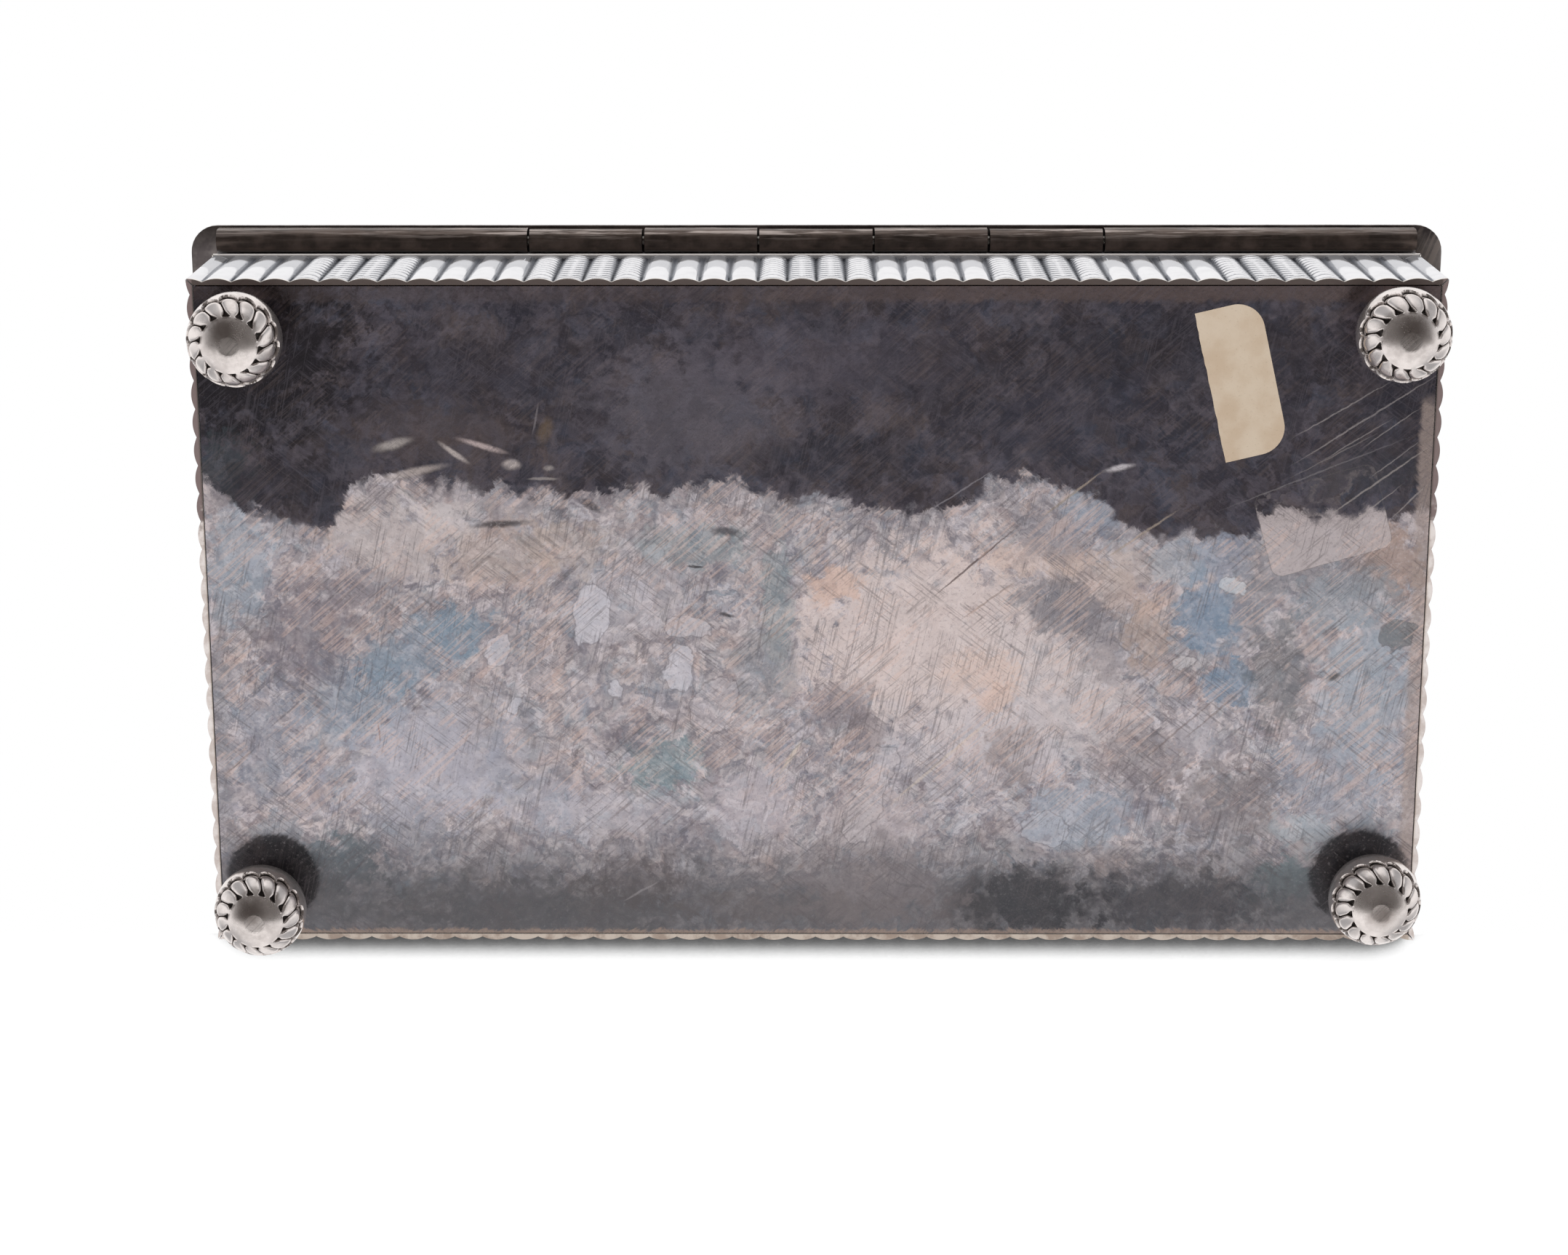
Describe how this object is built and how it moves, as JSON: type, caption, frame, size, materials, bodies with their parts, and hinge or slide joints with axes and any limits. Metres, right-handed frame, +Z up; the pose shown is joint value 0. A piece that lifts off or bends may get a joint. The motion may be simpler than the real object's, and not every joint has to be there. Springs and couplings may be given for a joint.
{
  "type": "silver keepsake box",
  "caption": "Rectangular silver keepsake box with fluted walls, swirl-lobed bun feet, cedar lining and an overhanging lid on a full-length back hinge.",
  "frame": {"origin": "on the surface the box stands on, under the middle of its plan", "axes": "+X along the box's length to the right, +Y towards the hinge at the back, +Z up"},
  "size_m": [0.2088, 0.12, 0.0471],
  "materials": {
    "silver_wall": "polished fluted silver sheet with chased lines on alternate groups of flutes, lightly worn",
    "silver_base": "tarnished silver plate, dark blue-black towards the hinge side, mottled grey towards the front, scratched",
    "silver_foot": "polished cast silver with dark patina in the recesses",
    "silver_lid": "worn silver sheet, brown tarnish on the underside",
    "silver_hinge": "silver tube with brown tarnish and rubbed highlights",
    "cedar": "bare planed cedar"
  },
  "bodies": {
    "case": {"base_plate": "silver_base", "front_wall": "silver_wall", "back_wall": "silver_wall", "left_wall": "silver_wall", "right_wall": "silver_wall", "front_rim": "silver_wall", "back_rim": "silver_wall", "left_rim": "silver_wall", "right_rim": "silver_wall", "foot_front_left": "silver_foot", "foot_front_right": "silver_foot", "foot_back_left": "silver_foot", "foot_back_right": "silver_foot", "lining_floor": "cedar", "front_lining": "cedar", "back_lining": "cedar", "left_lining": "cedar", "right_lining": "cedar", "divider": "cedar", "case_knuckle_1": "silver_hinge", "case_knuckle_2": "silver_hinge", "case_knuckle_3": "silver_hinge", "hinge_pin": "silver_hinge"},
    "lid": {"lid_frame": "silver_lid", "lid_panel": "silver_lid", "lid_lining": "cedar", "lid_knuckle_1": "silver_hinge", "lid_knuckle_2": "silver_hinge", "lid_barrel_left": "silver_hinge", "lid_barrel_right": "silver_hinge"}
  },
  "joints": [
    {"name": "lid_hinge", "type": "hinge", "parent": "case", "child": "lid", "pos_m": [0, 0.0578, 0.041], "axis": [-1, 0, 0], "range_deg": [0, 100]}
  ]
}
